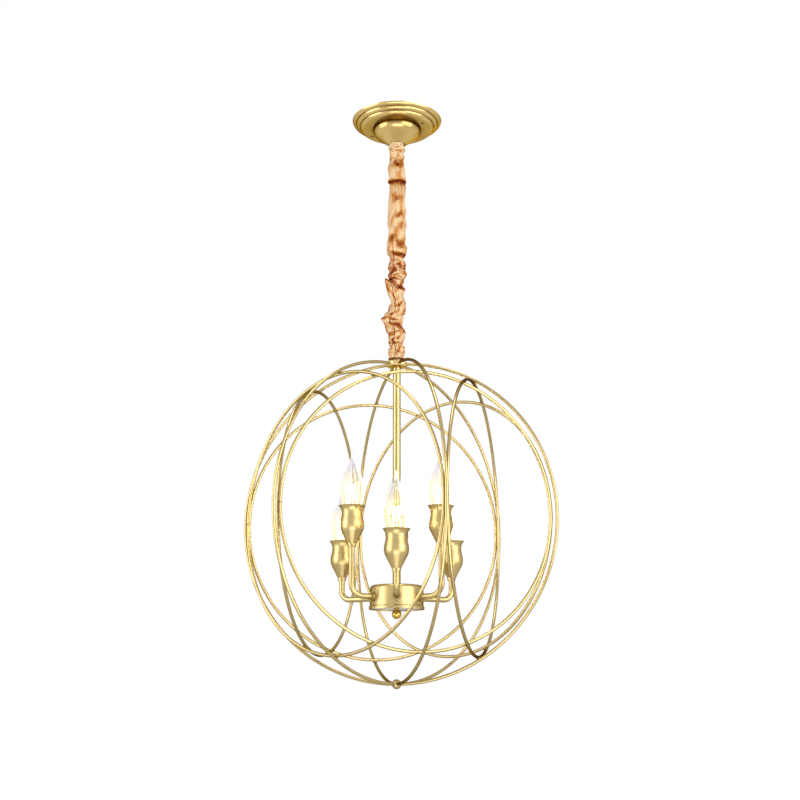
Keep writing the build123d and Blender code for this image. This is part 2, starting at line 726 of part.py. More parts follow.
os.makedirs("parts", exist_ok=True)
for name, shape in make_parts().items():
    pieces = shape if isinstance(shape, list) else [shape]
    solids = [solid for piece in pieces for solid in piece.solids()]
    export_step(solids[0] if len(solids) == 1 else Compound(children=solids), f"parts/{name}.step")
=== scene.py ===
import math

import bmesh
import bpy
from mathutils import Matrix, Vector


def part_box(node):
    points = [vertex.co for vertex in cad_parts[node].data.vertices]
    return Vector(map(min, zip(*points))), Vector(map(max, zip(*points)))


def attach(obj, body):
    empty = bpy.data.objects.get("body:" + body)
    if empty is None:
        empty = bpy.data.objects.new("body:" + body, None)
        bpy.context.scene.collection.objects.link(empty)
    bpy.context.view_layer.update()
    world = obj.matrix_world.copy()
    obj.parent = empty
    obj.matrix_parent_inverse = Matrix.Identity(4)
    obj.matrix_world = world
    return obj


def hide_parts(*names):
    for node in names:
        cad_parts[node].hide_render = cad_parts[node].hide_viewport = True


# Candle chandelier: finishes, the gathered sleeve, the bulbs' cores, the cage's small joints, and the studio.
# Metres, in the frame of the solids: the origin is the middle of the ceiling face, +Z is up, -Y is the front.

# Camera
CAMERA_PLACE = (0.0042, -1.5357, -0.7695)
CAMERA_PITCH = 0.2392         # radians above level
CAMERA_LENS = 54.65
CAMERA_SENSOR = 36.0

# Studio
FLOOR_Z = -1.75
FLOOR_HALF = 3.0
FLOOR_FADE = (0.35, 1.35)     # from the middle, where it passes into the white surroundings
FLOOR_COLOUR = (0.62, 0.61, 0.59)
FLOOR_DIM = 0.97              # of its colour, where it is a little darker
FLOOR_SHOWN = 0.15            # light added where the floor is seen, for a white ground
CEILING_Z = -0.0004
CEILING_RADIUS = 0.0585
CEILING_SIDES = 48
CEILING_SHADES = 0.85         # share of the light from above that it keeps out of the canopy
# Painted shade: the patch is near black for the shade inside the canopy.
CEILING_PAINTED_SHADE = (0.05, 0.045, 0.04)
CEILING_SHADE = (0.04, 0.035, 0.03)
WORLD_SHOWN = 1.0             # strength that the camera, metal and glass see
WORLD_SOFT = 0.40             # strength that lights everything else
LAMP_AIM = (0.0, 0.0, -0.5)
LAMPS = (                     # name, place, width, height, watts
    ("left", (-1.76, -0.71, -0.25), 1.3, 1.6, 23.0),
    ("right", (1.46, -1.22, -0.25), 1.8, 1.6, 31.0),
    ("low", (0.1, -1.5, -1.5), 1.6, 0.9, 15.0),
    ("top", (0.0, -0.2, 1.3), 0.9, 0.9, 12.0),
    ("back", (0.5, 1.7, 0.1), 0.8, 1.2, 5.0),
)

# Gathered sleeve: a tube of satin drawn up over the chain, caught on the links at some heights
SLEEVE_TOP = -0.0316
SLEEVE_HEM = -0.3404
SLEEVE_WIDTH = 0.076          # round the tube, before it was hung
SLEEVE_STEP = 0.0020
SLEEVE_THICKNESS = 0.0003
SLEEVE_TWIST = math.radians(20)
ALL_ROUND = (0.0, 180.0)      # direction and half spread of a catch that goes all round, in degrees
# Each catch: cloth since the last one, height, radius, shift to the right, direction, half spread
SLEEVE_CATCHES = (
    (0.0000, SLEEVE_TOP, 0.0106, 0.0000, *ALL_ROUND),
    (0.0150, -0.0410, 0.0118, 0.0000, *ALL_ROUND),
    (0.0240, -0.0575, 0.0078, 0.0000, *ALL_ROUND),
    (0.0360, -0.0915, 0.0120, 0.0004, *ALL_ROUND),
    (0.0055, -0.0880, 0.0092, 0.0000, *ALL_ROUND),
    (0.0130, -0.1000, 0.0090, 0.0000, *ALL_ROUND),
    (0.0305, -0.1300, 0.0108, 0.0000, *ALL_ROUND),
    (0.0082, -0.1380, 0.0098, 0.0000, *ALL_ROUND),
    (0.0318, -0.1690, 0.0118, 0.0000, *ALL_ROUND),
    (0.0275, -0.1950, 0.0122, 0.0000, *ALL_ROUND),
    (0.0200, -0.2060, 0.0105, 0.0000, *ALL_ROUND),
    (0.0190, -0.2160, 0.0102, 0.0000, *ALL_ROUND),
    (0.0330, -0.2300, 0.0158, -0.0010, 190.0, 40.0),
    (0.0350, -0.2600, 0.0076, 0.0020, *ALL_ROUND),
    (0.0370, -0.2850, 0.0205, -0.0010, 185.0, 28.0),
    (0.0310, -0.3060, 0.0100, 0.0000, *ALL_ROUND),
    (0.0260, -0.3220, 0.0082, 0.0000, *ALL_ROUND),
    (0.0240, SLEEVE_HEM, 0.0112, 0.0000, *ALL_ROUND),
)
SLEEVE_LENGTH = sum(catch[0] for catch in SLEEVE_CATCHES)
# Each dent: height, direction, half length, half height, lean, depth
SLEEVE_DENTS = (
    (-0.0660, -82.0, 0.0105, 0.0062, 32.0, 0.0036),
    (-0.1170, -92.0, 0.0095, 0.0046, 32.0, 0.0034),
    (-0.1390, -66.0, 0.0110, 0.0040, 44.0, 0.0030),
    (-0.1560, -52.0, 0.0095, 0.0040, 44.0, 0.0032),
    (-0.1725, -128.0, 0.0105, 0.0050, 42.0, 0.0040),
    (-0.1820, -62.0, 0.0110, 0.0056, -30.0, 0.0042),
)
DENT_LIP = 0.35               # of its depth, by which the cloth is raised below it
DENT_BEHIND = (170.0, 0.008)  # the same again on the far side, turned and higher
CATCH_GAP = 4                 # every so many points round the tube is caught

# Cloth before it is gathered, and its simulation
SLACK_WAVES = ((0.0009, 3, 85.0, 0.0), (0.0008, 2, -134.0, 1.0), (0.0007, 5, 206.0, 2.0))
SLACK_ENDS = 8.0              # the waves fade out over one part in so many of the length at each end
CHAIN_RADIUS = 0.0058
CHAIN_SWELL = 0.0008
CHAIN_BEAT = 1.9              # turn of the swell from row to row of the stand-in
CHAIN_ROWS = 61
CHAIN_SIDES = 16
CHAIN_ABOVE = 0.01            # how far the stand-in goes up above the sleeve
CHAIN_BEYOND = 0.05           # how much longer than the slack cloth it is
CLOTH_SCALE = 10              # the cloth is simulated ten times its size
GATHER_FRAMES = 50
SETTLE_FRAMES = 62

# Satin: its thread and seam, and its painted shade, a tone from 0 on crests to 1 in creases
SATIN_THREAD = 0.00030
SATIN_DRIFT = 0.07
SATIN_TONES = (
    (0.36, (0.83, 0.655, 0.43)),
    (0.56, (0.76, 0.55, 0.31)),
    (0.755, (0.52, 0.185, 0.02)),
    (0.90, (0.19, 0.025, 0.0)),
)
WAVE_TURN = 20.0              # radians of a wave texture of scale 1 in one unit
SEAM_PLACE = 0.0494           # how far round the cloth the sewn seam runs
SEAM_HALF = 0.0007
SEAM_TONE = 0.34
SEAM_DEPTH = 2.0              # times the height of the weave
SEAM_SHOWS = (0.165, 0.195)   # how far down the cloth it comes out of the folds
HOLLOW_REACH = 0.012
HOLLOW_SHADE = 1.1             # painted shade, added where the cloth is shut in
DENT_SHADE = 0.30              # painted shade, added at a dent's deepest
CREASE_REACH = 4              # how many points away the cloth is averaged to measure a crease
CREASE_MIDDLE = 0.46          # tone of flat cloth
CREASE_DEPTH = 0.0026         # of a crease that adds 1 to the tone, where the cloth is crumpled
SMOOTH_DEPTH = 0.0020         # added to that depth where it hangs smoothly
SMOOTH_TONE = 0.07            # added to the tone there
SMOOTH_MIDDLE = -0.130
SMOOTH_HALF = 0.075
SMOOTH_FADE = 0.020
COLLAR_TONE = -0.28           # added at the top, where light reaches into the folds
COLLAR_BOTTOM = -0.052
COLLAR_FADE = 0.010

# Joints of the cage at its equator: solder in the groove of two rings, dark also as painted shade along the
# groove, and the joint in each ring's wire
CAGE_RADIUS = 0.204           # to the middle of the ribs' wire
CAGE_WIRE = 0.004
CAGE_TOUCH = 0.0001           # between wires that bear on each other
CAGE_TURN = math.radians(-14)   # direction of the first rib
CAGE_PITCH = math.radians(60)   # from rib to rib
SOLDER_HALF = 0.014           # half the length of a bead
SOLDER_WIDTH = 0.0013         # half its width
SOLDER_DEPTH = 0.0012         # half its depth
SOLDER_STEPS = 16
SOLDER_SIDES = 12
JOINT_HALF = 0.0006           # half the height of a joint
JOINT_PROUD = 0.00010         # how far it stands out from the wire
JOINT_OUTLINE = ((-1.0, 0.0), (-0.6, 1.0), (0.6, 1.0), (1.0, 0.0))   # of these two, from bottom to top
JOINT_SIDES = 24

# Painted shade in the canopy's recesses: the colour is darkened where the surface is shut in
RECESS_SHADE_REACH = 0.030
RECESS_SHADE_TONES = ((0.60, (0.32, 0.27, 0.18)), (0.98, (1.0, 1.0, 1.0)))

# Bulb core, measured up from the tip of its cap. Outlines are radius and height.
CAP_RADIUS = 0.0069
CAP_TOP = 0.0171
CAP_SKIRT = 0.0045            # height where the thread begins
THREAD_PITCH = 0.0028
THREAD_DEPTH = 0.0007
THREAD_STEPS = 48
CONTACT_RADIUS = 0.0024
CONTACT_OUTLINE = ((0.0, 0.0), (0.7 * CONTACT_RADIUS, 0.0002), (CONTACT_RADIUS, 0.0010))
INSULATOR_OUTLINE = (CONTACT_OUTLINE[-1], (0.0044, 0.0021), (0.0058, 0.0036))
CAP_FOOT = (INSULATOR_OUTLINE[-1], (CAP_RADIUS - 0.0003, CAP_SKIRT - 0.0005))
MOUNT_OUTLINE = (
    (0.0060, CAP_TOP),
    (0.0042, 0.0195),
    (0.0024, 0.0230),
    (0.0019, 0.0275),
    (0.0026, 0.0295),
    (0.0, 0.0303),
)
FILAMENT_BOTTOM = 0.0310
FILAMENT_TOP = 0.0560
FILAMENT_RADII = (0.0058, 0.0034)   # of the lower and the upper ring of hooks
FILAMENT_TURNS = 9
FILAMENT_WIRE = 0.00022
POST_WIRE = 0.00030
POST_SUNK = 0.002             # how far the post goes down into the mount
HOOK_DROP = 0.0004            # of the upper hooks below their post's top
HOOK_ROOT = 0.0285            # height at which the lower hooks leave the mount
CORE_SIDES = 40
CAP, SOLDER, INSULATOR, MOUNT, FILAMENT = range(5)   # materials of the core, in order

ARMS = range(1, 7)            # cups, bulbs, ribs and rings are numbered as the arms are


def new_material(name):
    """A material with its node tree and its Principled shader."""
    material = bpy.data.materials.new(name)
    material.use_nodes = True
    return material, material.node_tree, material.node_tree.nodes["Principled BSDF"]


def coordinates(tree, kind="Object"):
    """Coordinates of the surface."""
    return tree.nodes.new("ShaderNodeTexCoord").outputs[kind]


def noise(tree, where, scale, detail=2.0, roughness=0.5):
    """Noise of a given scale, from 0 to 1."""
    node = tree.nodes.new("ShaderNodeTexNoise")
    node.inputs["Scale"].default_value = scale
    node.inputs["Detail"].default_value = detail
    node.inputs["Roughness"].default_value = roughness
    tree.links.new(where, node.inputs["Vector"])
    return node.outputs["Fac"]


def ramp(tree, value, stops):
    """Colours at given values, smooth between them."""
    node = tree.nodes.new("ShaderNodeValToRGB")
    elements = node.color_ramp.elements
    for _ in stops[2:]:
        elements.new(0.5)
    for element, (position, colour) in zip(elements, stops):
        element.position = position
        element.color = (*colour, 1.0)
    tree.links.new(value, node.inputs["Fac"])
    return node.outputs["Color"]


def spread(tree, value, low, high, given=(0.0, 1.0)):
    """A value of a given range, spread over another."""
    node = tree.nodes.new("ShaderNodeMapRange")
    node.inputs["From Min"].default_value, node.inputs["From Max"].default_value = given
    node.inputs["To Min"].default_value = low
    node.inputs["To Max"].default_value = high
    tree.links.new(value, node.inputs["Value"])
    return node.outputs["Result"]


def calculate(tree, operation, first, second):
    """A math operation on two values, each a socket or a number."""
    node = tree.nodes.new("ShaderNodeMath")
    node.operation = operation
    for value, socket in zip((first, second), node.inputs):
        if isinstance(value, (int, float)):
            socket.default_value = value
        else:
            tree.links.new(value, socket)
    return node.outputs["Value"]


def shown_rays(tree):
    """1 for the rays by which the camera, metal and glass see the surroundings."""
    rays = tree.nodes.new("ShaderNodeLightPath").outputs
    shown = calculate(tree, "MAXIMUM", rays["Is Camera Ray"], rays["Is Glossy Ray"])
    return calculate(tree, "MAXIMUM", shown, rays["Is Transmission Ray"])


def openness(tree, reach):
    """How open the surface is to its surroundings, from 0 in deep hollows to 1."""
    node = tree.nodes.new("ShaderNodeAmbientOcclusion")
    node.inputs["Distance"].default_value = reach
    node.samples = 8
    node.only_local = True
    return node.outputs["AO"]


def mix_shaders(tree, share, first, second):
    """Show a share of the second shader in place of the first."""
    mix = tree.nodes.new("ShaderNodeMixShader")
    tree.links.new(share, mix.inputs["Fac"])
    tree.links.new(first.outputs["BSDF"], mix.inputs[1])
    tree.links.new(second.outputs["BSDF"], mix.inputs[2])
    tree.links.new(mix.outputs["Shader"], tree.nodes["Material Output"].inputs["Surface"])


def bump(tree, shader, height, depth, strength):
    """Relief of a given depth on a shader."""
    node = tree.nodes.new("ShaderNodeBump")
    node.inputs["Strength"].default_value = strength
    node.inputs["Distance"].default_value = depth
    tree.links.new(height, node.inputs["Height"])
    tree.links.new(node.outputs["Normal"], shader.inputs["Normal"])


def metal(name, colour, shade, roughness, edge, grain=2600.0, recess_shade=0.0):
    """Lacquered metal with a fine blasted grain, tone that drifts slowly over it, and painted shade that
    darkens its recesses.
    """
    material, tree, shader = new_material(name)
    where = coordinates(tree)
    drift = noise(tree, where, scale=38.0, detail=3.0)
    tone = ramp(tree, drift, ((0.32, shade), (0.68, colour)))
    # Painted shade: the colour is darkened by ambient occlusion where the surface is shut in.
    if recess_shade:
        mix = tree.nodes.new("ShaderNodeMixRGB")
        mix.blend_type = "MULTIPLY"
        mix.inputs["Fac"].default_value = 1.0
        tree.links.new(tone, mix.inputs["Color1"])
        tree.links.new(ramp(tree, openness(tree, recess_shade), RECESS_SHADE_TONES), mix.inputs["Color2"])
        tone = mix.outputs["Color"]
    tree.links.new(tone, shader.inputs["Base Color"])
    shader.inputs["Metallic"].default_value = 1.0
    shader.inputs["Specular Tint"].default_value = (*edge, 1.0)
    fine = noise(tree, where, scale=grain, roughness=0.6)
    tree.links.new(spread(tree, fine, roughness - 0.04, roughness + 0.05), shader.inputs["Roughness"])
    bump(tree, shader, fine, depth=0.00004, strength=0.04)
    return material


def plastic(name, colour, shade, roughness):
    """Moulded plastic or glazed ceramic with a faint texture."""
    material, tree, shader = new_material(name)
    where = coordinates(tree)
    mottle = noise(tree, where, scale=160.0, detail=3.0)
    tree.links.new(ramp(tree, mottle, ((0.3, shade), (0.7, colour))), shader.inputs["Base Color"])
    fine = noise(tree, where, scale=1900.0)
    tree.links.new(spread(tree, fine, roughness - 0.05, roughness + 0.08), shader.inputs["Roughness"])
    bump(tree, shader, fine, depth=0.00003, strength=0.4)
    return material


def bulb_glass():
    """Clear glass with a painted glow, warm and bright round the filaments and clear at the tip. Lamps shine
    through it.
    """
    material, tree, shader = new_material("bulb_glass")
    height = tree.nodes.new("ShaderNodeSeparateXYZ")
    tree.links.new(coordinates(tree, "Generated"), height.inputs["Vector"])
    up = height.outputs["Z"]
    # Painted glow of the filaments' light: a warm tint and faint emission low in the glass, none at the tip.
    tint = ((0.0, (0.98, 0.90, 0.68)), (0.45, (0.98, 0.94, 0.82)), (0.72, (0.90, 0.89, 0.92)))
    tree.links.new(ramp(tree, up, tint), shader.inputs["Base Color"])
    glow = ((0.0, (0.06, 0.04, 0.014)), (0.34, (0.10, 0.080, 0.040)), (0.70, (0.0, 0.0, 0.0)))
    tree.links.new(ramp(tree, up, glow), shader.inputs["Emission Color"])
    shader.inputs["Emission Strength"].default_value = 0.6
    shader.inputs["Transmission Weight"].default_value = 1.0
    shader.inputs["IOR"].default_value = 1.46
    waves = noise(tree, coordinates(tree), scale=90.0)
    tree.links.new(spread(tree, waves, 0.0, 0.03), shader.inputs["Roughness"])
    bump(tree, shader, waves, depth=0.0004, strength=0.05)
    clear = tree.nodes.new("ShaderNodeBsdfTransparent")
    clear.inputs["Color"].default_value = (0.96, 0.95, 0.92, 1.0)
    mix_shaders(tree, tree.nodes.new("ShaderNodeLightPath").outputs["Is Shadow Ray"], shader, clear)
    return material


def filament():
    """White-hot wire."""
    material, tree, shader = new_material("bulb_filament")
    glow = noise(tree, coordinates(tree), scale=300.0)
    tones = ((0.3, (1.0, 0.74, 0.36)), (0.7, (1.0, 0.82, 0.50)))
    tree.links.new(ramp(tree, glow, tones), shader.inputs["Emission Color"])
    shader.inputs["Emission Strength"].default_value = 70.0
    shader.inputs["Base Color"].default_value = (0.8, 0.6, 0.3, 1.0)
    return material


def mount_glass():
    """Pressed glass of the bulb's mount."""
    material, tree, shader = new_material("bulb_mount")
    cloudy = noise(tree, coordinates(tree), scale=400.0)
    tones = ((0.3, (0.88, 0.86, 0.80)), (0.7, (0.96, 0.95, 0.92)))
    tree.links.new(ramp(tree, cloudy, tones), shader.inputs["Base Color"])
    tree.links.new(spread(tree, cloudy, 0.08, 0.2), shader.inputs["Roughness"])
    shader.inputs["Transmission Weight"].default_value = 0.7
    return material


def satin():
    """Woven satin: threads that follow the cloth, a sheen, painted shade that deepens the colour in creases
    and hollows, and the sewn seam.
    """
    material, tree, shader = new_material("sleeve_satin")
    cloth = coordinates(tree, "UV")
    drift = noise(tree, coordinates(tree), scale=420.0, detail=4.0)
    crease = tree.nodes.new("ShaderNodeAttribute")
    crease.attribute_name = "crease"
    # Painted shade where the cloth is shut in, from ambient occlusion.
    shut = spread(tree, openness(tree, HOLLOW_REACH), HOLLOW_SHADE, 0.0)
    tone = calculate(tree, "ADD", crease.outputs["Fac"], spread(tree, drift, -SATIN_DRIFT, SATIN_DRIFT))
    tone = calculate(tree, "ADD", tone, shut)
    place = tree.nodes.new("ShaderNodeSeparateXYZ")
    tree.links.new(cloth, place.inputs["Vector"])
    off = calculate(tree, "ABSOLUTE", calculate(tree, "SUBTRACT", place.outputs["X"], SEAM_PLACE), 0.0)
    seam = calculate(tree, "GREATER_THAN", SEAM_HALF, off)
    seam = calculate(tree, "MULTIPLY", seam, spread(tree, place.outputs["Y"], 0.0, 1.0, SEAM_SHOWS))
    tone = calculate(tree, "ADD", tone, calculate(tree, "MULTIPLY", seam, SEAM_TONE))
    # The tone holds painted shade in creases and hollows, besides the seam's own darker line.
    tree.links.new(ramp(tree, tone, SATIN_TONES), shader.inputs["Base Color"])
    threads = []
    for direction in ("X", "Y"):
        wave = tree.nodes.new("ShaderNodeTexWave")
        wave.bands_direction = direction
        wave.inputs["Scale"].default_value = math.tau / (WAVE_TURN * SATIN_THREAD)
        wave.inputs["Distortion"].default_value = 0.6
        tree.links.new(cloth, wave.inputs["Vector"])
        threads.append(wave.outputs["Fac"])
    weave = calculate(tree, "MULTIPLY", *threads)
    relief = calculate(tree, "SUBTRACT", weave, calculate(tree, "MULTIPLY", seam, SEAM_DEPTH))
    bump(tree, shader, relief, depth=0.00006, strength=0.5)
    tree.links.new(spread(tree, drift, 0.36, 0.50), shader.inputs["Roughness"])
    shader.inputs["Specular IOR Level"].default_value = 0.14
    shader.inputs["Sheen Weight"].default_value = 0.04
    shader.inputs["Sheen Roughness"].default_value = 0.35
    shader.inputs["Sheen Tint"].default_value = (1.0, 0.80, 0.55, 1.0)
    return material


def dress(material, *nodes):
    """Give solids a finish."""
    for node in nodes:
        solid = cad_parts[node]
        if not solid.material_slots:
            solid.data.materials.append(material)
        for slot in solid.material_slots:
            slot.material = material


def new_object(name, mesh):
    """An object in the scene for a mesh."""
    thing = bpy.data.objects.new(name, mesh)
    bpy.context.scene.collection.objects.link(thing)
    return thing


def tube_faces(rows, around):
    """Faces of a tube of points that goes row by row."""
    faces = []
    for i in range(rows - 1):
        for j in range(around):
            k = (j + 1) % around
            faces.append((i * around + j, i * around + k, (i + 1) * around + k, (i + 1) * around + j))
    return faces


def add_skin(shape, rows, slot):
    """Join rows of points, each a closed ring or a single point, into a skin."""
    rings = [[shape.verts.new(point) for point in row] for row in rows]
    for upper, lower in zip(rings, rings[1:]):
        count = max(len(upper), len(lower))
        for j in range(count):
            k = (j + 1) % count
            above = [upper[n % len(upper)] for n in (j, k)]
            below = [lower[n % len(lower)] for n in (k, j)]
            face = shape.faces.new(dict.fromkeys(above + below))
            face.smooth = True
            face.material_index = slot


def ring_row(radius, height, around=CORE_SIDES):
    """Ring of points about Z, or the single point on the axis."""
    if radius == 0.0:
        return [(0.0, 0.0, height)]
    angles = [math.tau * j / around for j in range(around)]
    return [(radius * math.cos(a), radius * math.sin(a), height) for a in angles]


def thread_row(height):
    """Ring of points on the cap's screw thread."""
    row = []
    fade = min(1.0, (height - CAP_SKIRT) / THREAD_PITCH, (CAP_TOP - height) / THREAD_PITCH)
    for j in range(CORE_SIDES):
        angle = math.tau * j / CORE_SIDES
        wave = 0.5 - 0.5 * math.cos(math.tau * height / THREAD_PITCH - angle)
        radius = CAP_RADIUS - THREAD_DEPTH * fade * wave
        row.append((radius * math.cos(angle), radius * math.sin(angle), height))
    return row


def add_wire(shape, points, radius, slot):
    """Join a round wire along points into a skin."""
    curve = bpy.data.curves.new("wire", "CURVE")
    curve.dimensions = "3D"
    curve.bevel_depth = radius
    curve.bevel_resolution = 2
    spline = curve.splines.new("POLY")
    spline.points.add(len(points) - 1)
    for target, point in zip(spline.points, points):
        target.co = (*point, 1.0)
    wire = bpy.data.objects.new("wire", curve)
    mesh = bpy.data.meshes.new_from_object(wire)
    first = len(shape.faces)
    shape.from_mesh(mesh)
    shape.faces.ensure_lookup_table()
    for face in shape.faces[first:]:
        face.material_index = slot
        face.smooth = True
    bpy.data.objects.remove(wire)
    bpy.data.curves.remove(curve)
    bpy.data.meshes.remove(mesh)


def hook(i, heights):
    """Point of the lower or the upper ring of hooks, by turns, at its own height of two."""
    angle = math.pi * i / FILAMENT_TURNS
    radius = FILAMENT_RADII[i % 2]
    return (radius * math.cos(angle), radius * math.sin(angle), heights[i % 2])


def core_mesh(materials):
    """Screw cap with its contact, glass mount, posts and a filament laced up and down between two rings."""
    shape = bmesh.new()
    add_skin(shape, [ring_row(*point) for point in CONTACT_OUTLINE], SOLDER)
    add_skin(shape, [ring_row(*point) for point in INSULATOR_OUTLINE], INSULATOR)
    rows = [ring_row(*point) for point in CAP_FOOT]
    for i in range(THREAD_STEPS + 1):
        rows.append(thread_row(CAP_SKIRT + (CAP_TOP - CAP_SKIRT) * i / THREAD_STEPS))
    rows.append(ring_row(*MOUNT_OUTLINE[0]))
    add_skin(shape, rows, CAP)
    add_skin(shape, [ring_row(*point) for point in MOUNT_OUTLINE], MOUNT)
    hooks = range(2 * FILAMENT_TURNS)
    laced = [hook(i, (FILAMENT_BOTTOM, FILAMENT_TOP - HOOK_DROP)) for i in hooks]
    add_wire(shape, laced, FILAMENT_WIRE, FILAMENT)
    post_top = FILAMENT_TOP - POST_WIRE
    add_wire(shape, [(0.0, 0.0, MOUNT_OUTLINE[-1][1] - POST_SUNK), (0.0, 0.0, post_top)], POST_WIRE, SOLDER)
    for i in hooks:
        root = (0.0, 0.0, (HOOK_ROOT, post_top)[i % 2])
        add_wire(shape, [root, hook(i, (FILAMENT_BOTTOM, post_top - HOOK_DROP))], POST_WIRE / 2, SOLDER)
    mesh = bpy.data.meshes.new("bulb_core_detail")
    shape.to_mesh(mesh)
    shape.free()
    for material in materials:
        mesh.materials.append(material)
    return mesh


def add_bulb_cores():
    """A detailed core in each bulb, in place of its solid."""
    brass = metal("bulb_cap", (0.72, 0.58, 0.30), (0.64, 0.50, 0.24), 0.28, (0.6, 0.5, 0.3))
    solder = metal("bulb_solder", (0.66, 0.66, 0.66), (0.55, 0.55, 0.55), 0.35, (0.6, 0.6, 0.6))
    black = plastic("bulb_insulator", (0.030, 0.030, 0.032), (0.018, 0.018, 0.020), 0.2)
    mesh = core_mesh((brass, solder, black, mount_glass(), filament()))
    for k in ARMS:
        low, high = (Vector(corner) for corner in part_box(f"bulb_{k}_core"))
        core = new_object(f"bulb_{k}_core_detail", mesh)
        core.location = ((low.x + high.x) / 2, (low.y + high.y) / 2, low.z)
        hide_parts(f"bulb_{k}_core")
        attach(core, f"bulb_{k}")


def slack_radius(angle, down):
    """Radius of the tube before it is gathered, with slow waves that start its folds."""
    radius = SLEEVE_WIDTH / math.tau
    ends = min(1.0, SLACK_ENDS * down / SLEEVE_LENGTH, SLACK_ENDS * (1.0 - down / SLEEVE_LENGTH))
    return radius + ends * sum(
        size * math.sin(count * angle + pitch * down + phase) for size, count, pitch, phase in SLACK_WAVES
    )


def at(radius, angle, height):
    """Point of the simulated cloth."""
    return Vector((radius * math.cos(angle), radius * math.sin(angle), height)) * CLOTH_SCALE


def chain_stand_in():
    """Lumpy rod that keeps the cloth off the chain while it is gathered."""
    reach = SLEEVE_LENGTH + CHAIN_BEYOND
    points = []
    for i in range(CHAIN_ROWS):
        radius = CHAIN_RADIUS + CHAIN_SWELL * math.sin(CHAIN_BEAT * i)
        height = SLEEVE_TOP + CHAIN_ABOVE - reach * i / (CHAIN_ROWS - 1)
        points += [at(radius, math.tau * j / CHAIN_SIDES, height) for j in range(CHAIN_SIDES)]
    mesh = bpy.data.meshes.new("chain_stand_in")
    mesh.from_pydata(points, [], [face[::-1] for face in tube_faces(CHAIN_ROWS, CHAIN_SIDES)])
    rod = new_object("chain_stand_in", mesh)
    rod.modifiers.new("hard", "COLLISION")
    rod.collision.thickness_outer = 0.008
    rod.collision.cloth_friction = 25.0
    return rod


def slack_sleeve():
    """The sleeve's cloth before it is gathered, and the places where it is caught."""
    around = round(SLEEVE_WIDTH / SLEEVE_STEP)
    last = round(SLEEVE_LENGTH / SLEEVE_STEP)
    angles = [math.tau * j / around for j in range(around)]
    downs = [SLEEVE_LENGTH * i / last for i in range(last + 1)]
    mesh = bpy.data.meshes.new("chain_sleeve_cloth")
    points = [at(slack_radius(a, d), a, SLEEVE_TOP - d) for d in downs for a in angles]
    mesh.from_pydata(points, [], tube_faces(last + 1, around))
    layer = mesh.uv_layers.new(name="cloth")
    for face in mesh.polygons:
        row, column = divmod(face.index, around)
        for loop, (i, j) in zip(face.loop_indices, ((0, 0), (0, 1), (1, 1), (1, 0))):
            layer.data[loop].uv = ((column + j) * SLEEVE_WIDTH / around, downs[row + i])
    caught, down = {}, 0.0
    for cloth, height, radius, shift, direction, half_spread in SLEEVE_CATCHES:
        down += cloth
        row = round(last * down / SLEEVE_LENGTH)
        gap = 1 if row in (0, last) else CATCH_GAP
        for j in range(row % gap, around, gap):
            turned = angles[j] + SLEEVE_TWIST * row / last
            off = math.degrees(turned) - direction
            if abs((off + 180.0) % 360.0 - 180.0) <= half_spread:
                place = at(radius, turned, height)
                caught[row * around + j] = place + Vector((shift * CLOTH_SCALE, 0.0, 0.0))
    return mesh, caught


def gathered_sleeve():
    """Draw the sleeve up over the chain by cloth simulation, and give the cloth as it then hangs."""
    mesh, caught = slack_sleeve()
    cloth = new_object("gathering", mesh)
    cloth.shape_key_add(name="slack")
    drawn = cloth.shape_key_add(name="drawn")
    held = cloth.vertex_groups.new(name="held")
    for index, point in caught.items():
        drawn.data[index].co = point
        held.add([index], 1.0, "REPLACE")
    for frame_number, value in ((1, 0.0), (GATHER_FRAMES, 1.0)):
        drawn.value = value
        drawn.keyframe_insert("value", frame=frame_number)
    rod = chain_stand_in()
    modifier = cloth.modifiers.new("cloth", "CLOTH")
    settings = modifier.settings
    settings.quality = 6
    settings.mass = 0.12
    settings.tension_stiffness = settings.compression_stiffness = 25.0
    settings.shear_stiffness = 8.0
    settings.bending_stiffness = 0.08
    settings.tension_damping = settings.compression_damping = settings.shear_damping = 8.0
    settings.bending_damping = 1.0
    settings.air_damping = 3.0
    settings.vertex_group_mass = "held"
    settings.effector_weights.gravity = 0.35
    contact = modifier.collision_settings
    contact.distance_min = 0.007
    contact.use_self_collision = True
    contact.self_distance_min = 0.008
    contact.self_friction = 8.0
    contact.collision_quality = 3
    modifier.point_cache.frame_end = SETTLE_FRAMES
    scene = bpy.context.scene
    for frame_number in range(1, SETTLE_FRAMES + 1):
        scene.frame_set(frame_number)
    seen = cloth.evaluated_get(bpy.context.evaluated_depsgraph_get())
    hung = bpy.data.meshes.new_from_object(seen)
    for thing in (cloth, rod):
        bpy.data.objects.remove(thing)
    scene.frame_set(1)
    for vertex in hung.vertices:
        vertex.co /= CLOTH_SCALE
        vertex.co.z = min(max(vertex.co.z, SLEEVE_HEM), SLEEVE_TOP)
    return hung


